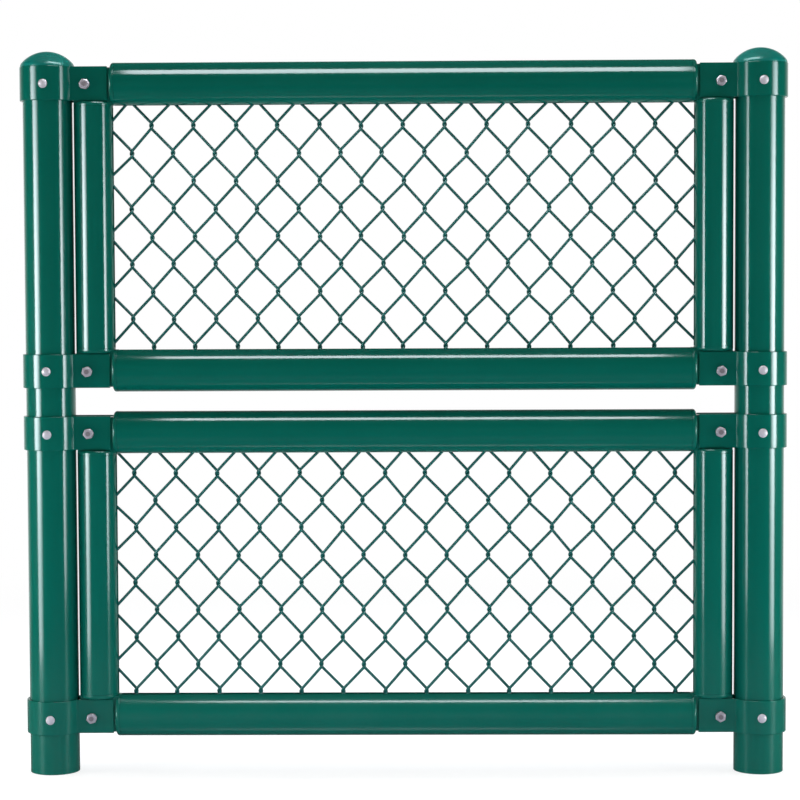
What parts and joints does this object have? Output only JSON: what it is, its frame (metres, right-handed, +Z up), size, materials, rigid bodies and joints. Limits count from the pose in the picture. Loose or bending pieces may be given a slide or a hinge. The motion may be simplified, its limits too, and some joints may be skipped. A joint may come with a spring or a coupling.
{
  "type": "chain link fence panel",
  "caption": "Fence bay of round posts with domed caps, whose clamp hoops carry stacked tubular frames filled with chain link mesh.",
  "frame": {"origin": "centre of the left post's foot, on the plane of its cut end at ground level", "axes": "+X along the fence towards the right post, +Y towards the back, +Z up"},
  "size_m": [1.1636, 0.0836, 1.1003],
  "materials": {
    "post_paint": "glossy dark green coating over steel tube",
    "frame_paint": "glossy dark green coating over steel tube",
    "fitting_paint": "glossy dark green coating over steel fittings",
    "mesh_coating": "satin dark green plastic coating over steel wire"
  },
  "bodies": {
    "root": {"left_post": "post_paint", "left_cap_hoop": "fitting_paint", "left_upper_middle_hoop": "fitting_paint", "left_lower_middle_hoop": "fitting_paint", "left_bottom_hoop": "fitting_paint", "right_post": "post_paint", "right_cap_hoop": "fitting_paint", "right_upper_middle_hoop": "fitting_paint", "right_lower_middle_hoop": "fitting_paint", "right_bottom_hoop": "fitting_paint", "upper_panel_top_rail": "frame_paint", "upper_panel_bottom_rail": "frame_paint", "upper_panel_left_stile": "frame_paint", "upper_panel_right_stile": "frame_paint", "upper_panel_top_left_corner": "fitting_paint", "upper_panel_top_right_corner": "fitting_paint", "upper_panel_bottom_left_corner": "fitting_paint", "upper_panel_bottom_right_corner": "fitting_paint", "upper_mesh": "mesh_coating", "lower_panel_top_rail": "frame_paint", "lower_panel_bottom_rail": "frame_paint", "lower_panel_left_stile": "frame_paint", "lower_panel_right_stile": "frame_paint", "lower_panel_top_left_corner": "fitting_paint", "lower_panel_top_right_corner": "fitting_paint", "lower_panel_bottom_left_corner": "fitting_paint", "lower_panel_bottom_right_corner": "fitting_paint", "lower_mesh": "mesh_coating"}
  },
  "joints": []
}
